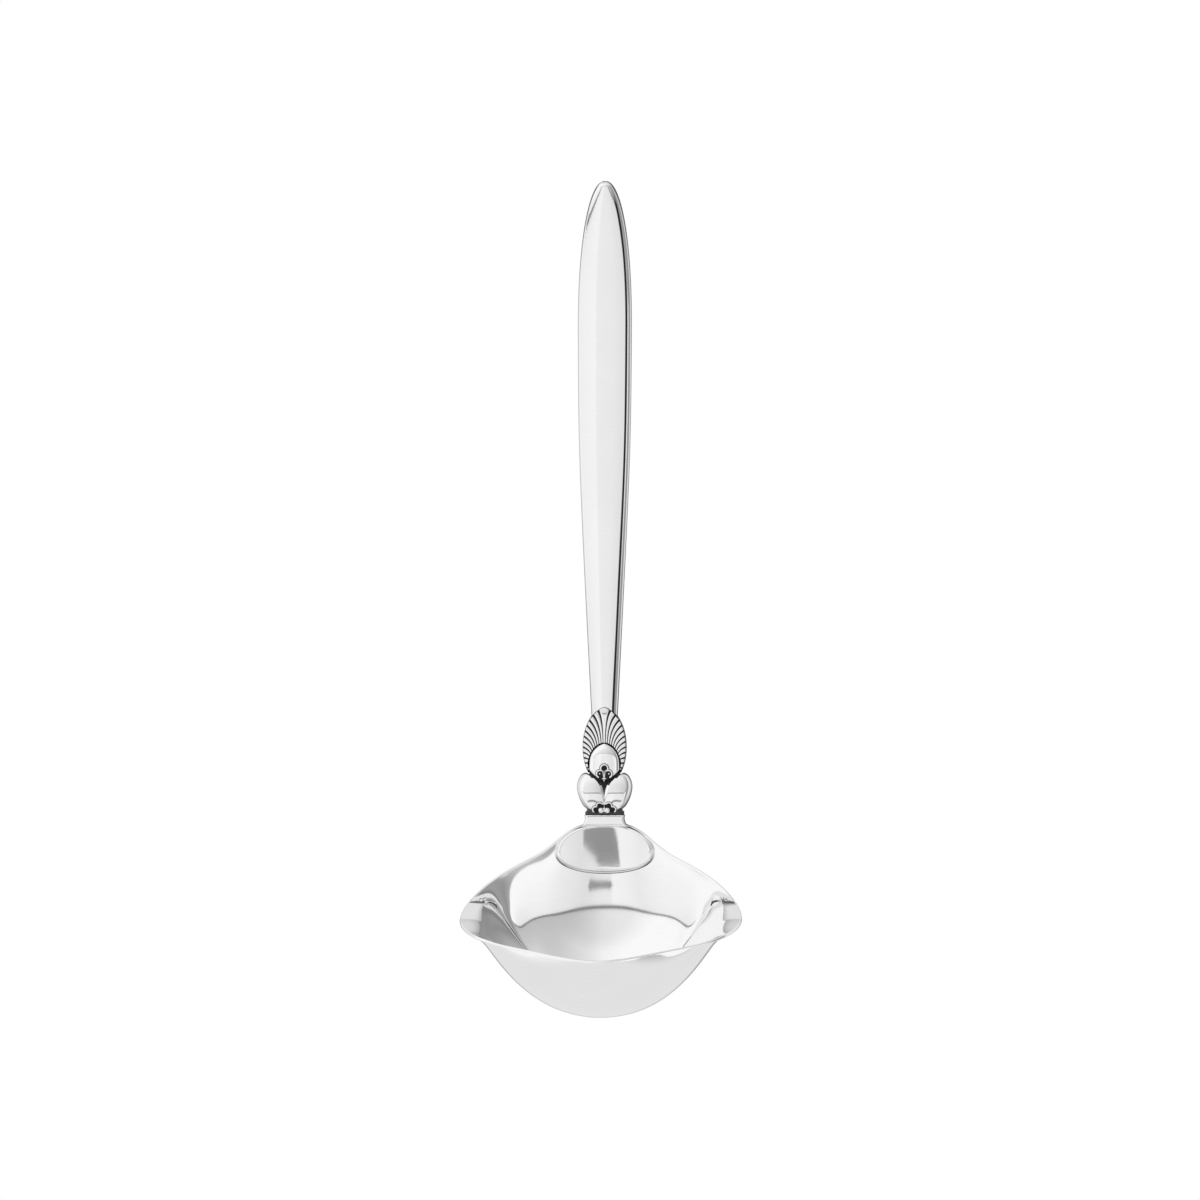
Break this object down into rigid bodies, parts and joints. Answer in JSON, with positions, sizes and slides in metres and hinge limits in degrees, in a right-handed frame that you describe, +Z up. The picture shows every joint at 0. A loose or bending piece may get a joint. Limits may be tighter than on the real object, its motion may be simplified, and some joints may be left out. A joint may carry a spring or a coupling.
{
  "type": "sauce ladle",
  "caption": "Silver sauce ladle with a double-lipped bowl, a solder tongue and collar, a leaf and bud ornament and a tapered bevelled handle, lying on its back.",
  "frame": {"origin": "on the surface that the ladle lies on, under the middle of its length, on its mirror plane", "axes": "+X from lip to lip, +Y along the handle towards its tip, +Z up while the ladle lies on its back with the bowl opening towards the handle"},
  "size_m": [0.0678, 0.1999, 0.0471],
  "materials": {
    "polished_silver": "mirror-polished sterling silver with fine hairline polishing marks",
    "oxidised_silver": "blackened (oxidised) silver left in the recesses, satin"
  },
  "bodies": {
    "root": {"bowl": "polished_silver", "tongue": "polished_silver", "collar": "polished_silver", "stem": "polished_silver", "core": "oxidised_silver", "fan": "polished_silver", "bud_front": "polished_silver", "bud_back": "polished_silver", "leaf_left": "polished_silver", "leaf_right": "polished_silver", "upper_blossom": "polished_silver", "lower_blossom": "polished_silver", "pearls": "polished_silver"}
  },
  "joints": []
}
